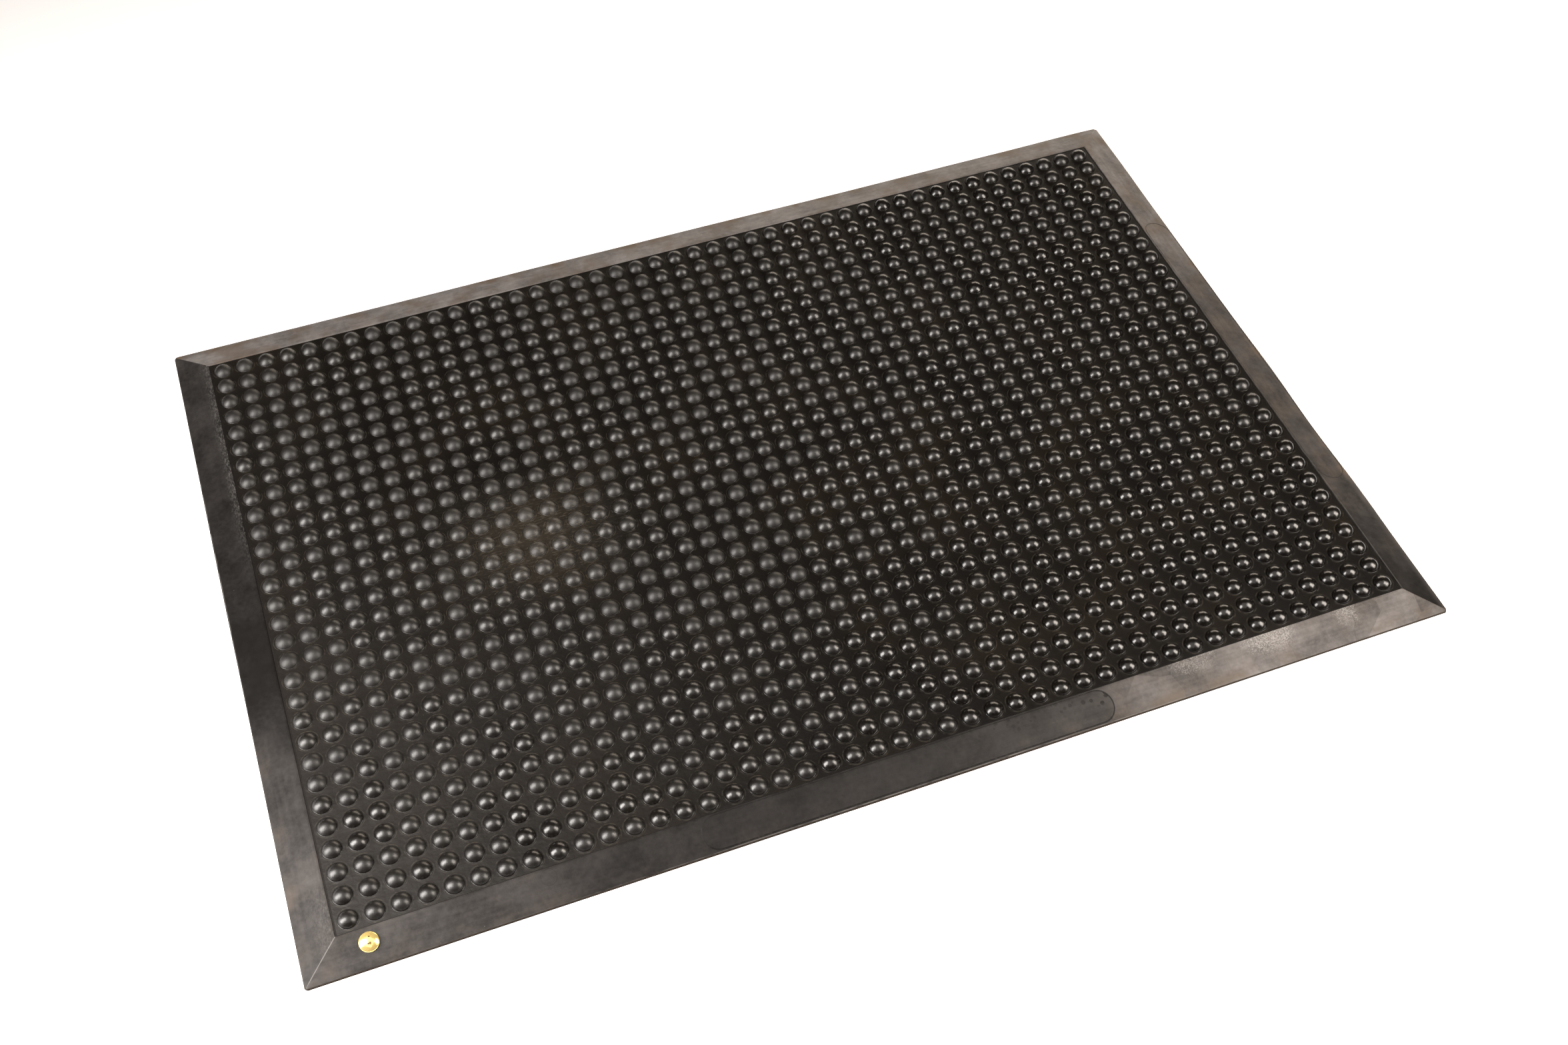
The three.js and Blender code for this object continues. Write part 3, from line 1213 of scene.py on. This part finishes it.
@dataclass
class EarthingStud:
    """The press stud: a smooth brass cap with its shank, and the socket on the underside."""

    sizes: StudSizes = STUD
    segments: int = 96
    crown_steps: int = 10
    shank_chamfer: float = 0.2
    brim_chamfer: float = 0.15
    brim_fall: float = 0.12
    crown_inset: float = 0.06
    crown_lift: float = 0.02
    socket_chamfers: Tuple[float, float, float, float] = (0.2, 0.3, 0.2, 0.1)
    sharp_angle: float = 40.0

    def _cap_profile(self) -> List[Tuple[float, float]]:
        """Section of the cap and shank.

        Returns:
            Radius and height of each point, in millimetres.
        """
        s = self.sizes
        low, brim = s.clearance, s.clearance + s.cap_brim
        foot, cut, soft = -s.socket_bottom, self.shank_chamfer, self.brim_chamfer
        profile = [(0.0, foot), (s.shank - cut, foot), (s.shank, cut - s.socket_bottom)]
        profile += [(s.shank, low), (s.cap_radius - soft, low), (s.cap_radius, low + soft)]
        profile += [(s.cap_radius, brim - self.brim_fall)]
        profile += [(s.cap_radius - self.crown_inset, brim + self.crown_lift)]
        ball = (s.cap_radius**2 + s.cap_crown**2) / (2 * s.cap_crown)
        for step in range(1, self.crown_steps):
            radius = (s.cap_radius - self.crown_inset) * (1 - step / self.crown_steps)
            crown = math.sqrt(ball**2 - radius**2) - (ball - s.cap_crown)
            profile.append((radius, brim + crown))
        return profile + [(0.0, brim + s.cap_crown)]

    def _socket_profile(self) -> List[Tuple[float, float]]:
        """Section of the socket ring.

        Returns:
            Radius and height of each point, in millimetres.
        """
        s = self.sizes
        hole, low = s.shank + s.clearance, -s.socket_bottom
        high = low + s.socket_thickness
        out = s.socket_radius
        in_low, out_low, out_high, in_high = self.socket_chamfers
        profile = [(hole, low + in_low), (hole + in_low, low), (out - out_low, low), (out, low + out_low)]
        profile += [(out, high - out_high), (out - out_high, high)]
        profile += [(hole + in_high, high), (hole, high - in_high)]
        return profile + [profile[0]]

    def build(self) -> None:
        """Builds both brass pieces."""
        cap = lathe("brass_cap", self._cap_profile(), self.segments)
        socket = lathe("brass_socket", self._socket_profile(), self.segments)
        plain = StudBrass(name="plain_brass", bright=(0.72, 0.5, 0.2), rough=0.28, metal=1.0, dark_reflections=())
        for piece, finish, node in ((cap, StudBrass(), "stud_cap"), (socket, plain, "stud_socket")):
            piece.matrix_world = SIZES.stud_turn
            piece.data.set_sharp_from_angle(angle=math.radians(self.sharp_angle))
            dress(piece, finish.make(), node)


@dataclass
class InsertSeams:
    """The mould inserts' joint lines: a hair-thin ridge round each insert on the border."""

    sizes: MatSizes = SIZES
    half_width: float = 0.22
    height: float = 0.09
    end_steps: int = 28
    run_steps: int = 60
    sunk: float = 0.05

    def _path(self, insert: Insert) -> Tuple[np.ndarray, np.ndarray]:
        """Centre line of a seam in the plane.

        Args:
            insert: the insert that it goes round.

        Returns:
            Its points and their outward directions, in millimetres.
        """
        middle, half, line, radius = insert.middle, insert.straight, insert.line, insert.radius
        run = np.linspace(-1, 1, self.run_steps)
        turn = np.linspace(-math.pi / 2, math.pi / 2, self.end_steps)[1:-1]
        along = [middle + half * run, middle + half + radius * np.cos(turn)]
        along += [middle - half * run, middle - half - radius * np.cos(turn)]
        across = [np.full(run.shape, line - radius), line + radius * np.sin(turn)]
        across += [np.full(run.shape, line + radius), line - radius * np.sin(turn)]
        points = np.column_stack([np.concatenate(along), np.concatenate(across)])
        centre = np.clip(points[:, 0], middle - half, middle + half)
        outward = (points - np.column_stack([centre, np.full(len(points), line)])) / radius
        if insert.side is Side.RIGHT:
            points, outward = points[:, ::-1][::-1], outward[:, ::-1][::-1]
        return points, outward

    def _bevel_height(self, points: np.ndarray) -> np.ndarray:
        """Height of the bevel under points in the plane, in millimetres."""
        inset = np.min(np.array(self.sizes.half) - np.abs(points), axis=1)
        return np.minimum(self.sizes.edge_height / MM + inset * self.sizes.slope, self.sizes.rim_z / MM)

    def build(self, finish: bpy.types.Material) -> None:
        """Builds both seams.

        Args:
            finish: the border's material.
        """
        for insert in INSERTS:
            points, outward = self._path(insert)
            rows = []
            wide = self.half_width
            for offset, lift in ((wide, -self.sunk), (0.0, self.height), (-wide, -self.sunk)):
                place = points + outward * offset
                rows.append(np.column_stack([place, self._bevel_height(place) + lift]))
            faces = ring_faces(len(points), len(rows))
            seam = mesh_object(f"insert_seam_{insert.side.value}", np.concatenate(rows) * MM, faces)
            dress(seam, finish, "mat")


@dataclass(frozen=True)
class SoftLight:
    """One soft light of the studio: its place, size, power and tint."""

    name: str
    place: Point
    aim: Point
    size: Tuple[float, float]
    power: float
    tint: Colour = (1.0, 1.0, 1.0)

    def build(self) -> None:
        """Adds the light."""
        data = bpy.data.lights.new(self.name, "AREA")
        data.shape = "RECTANGLE"
        data.size, data.size_y = self.size
        data.energy = self.power
        data.color = self.tint
        lamp = bpy.data.objects.new(self.name, data)
        lamp.location = self.place
        away = Vector(self.place) - Vector(self.aim)
        lamp.rotation_euler = away.to_track_quat("Z", "Y").to_euler()
        bpy.context.scene.collection.objects.link(lamp)


@dataclass
class Studio:
    """Pale floor, soft lights and the camera at the photograph's view."""

    camera_place: Point = (-0.32056, -0.87496, 1.16183)
    camera_turn: Point = (37.2487, -0.2522, -20.2528)
    lens: float = 38.977
    sensor: float = 36.0
    clip_start: float = 0.01
    floor_reach: float = 4.0
    air: Colour = (1.0, 0.93, 0.85)
    ambient: float = 0.06
    lights: Tuple[SoftLight, ...] = (
        SoftLight("left_soft", (-1.00, -0.24, 0.60), (-0.2, -0.2, 0), (0.45, 1.0), 36.0, (1.0, 0.95, 0.91)),
        SoftLight("right_soft", (0.84, -0.66, 0.92), (0.1, 0, 0), (0.6, 1.0), 34.0, (1.0, 0.91, 0.82)),
        SoftLight("back_soft", (2.10, 3.40, 0.90), (0, 0, 0), (3.6, 1.2), 78.0, (1.0, 0.86, 0.71)),
        SoftLight("top_soft", (-0.60, -0.55, 1.90), (-0.42, -0.31, 0), (2.2, 2.2), 23.0, (1.0, 0.94, 0.88)),
    )

    def build(self) -> None:
        """Builds the studio."""
        bpy.context.scene.view_settings.view_transform = "Standard"
        for light in self.lights:
            light.build()
        self._floor()
        self._world()
        self._camera()

    def _floor(self) -> None:
        """Adds the floor."""
        r = self.floor_reach
        points = np.array([(-r, -r, 0.0), (r, -r, 0.0), (r, r, 0.0), (-r, r, 0.0)])
        floor = mesh_object("studio_floor", points, [[0, 1, 2, 3]])
        floor.data.materials.append(PaleFloor().make())

    def _world(self) -> None:
        """Sets the even light from all round."""
        world = bpy.data.worlds.new("studio_air")
        world.use_nodes = True
        back = world.node_tree.nodes["Background"]
        back.inputs[0].default_value = (*self.air, 1.0)
        back.inputs[1].default_value = self.ambient
        bpy.context.scene.world = world

    def _camera(self) -> None:
        """Adds the camera."""
        data = bpy.data.cameras.new("photo_camera")
        data.lens = self.lens
        data.sensor_width = self.sensor
        data.sensor_fit = "HORIZONTAL"
        data.clip_start = self.clip_start
        camera = bpy.data.objects.new("photo_camera", data)
        camera.location = self.camera_place
        camera.rotation_euler = Euler([math.radians(a) for a in self.camera_turn], "XYZ")
        bpy.context.scene.collection.objects.link(camera)
        bpy.context.scene.camera = camera


def main() -> None:
    """Builds every sub-assembly of the mat in order, then the studio."""
    logging.basicConfig(level=logging.INFO, format="%(name)s: %(message)s")
    DomedPanel().build()
    body = BevelledBody()
    body.build()
    InsertSeams().build(body.piece.data.materials[0])
    EarthingStud().build()
    Studio().build()


if __name__ == "__main__":
    main()
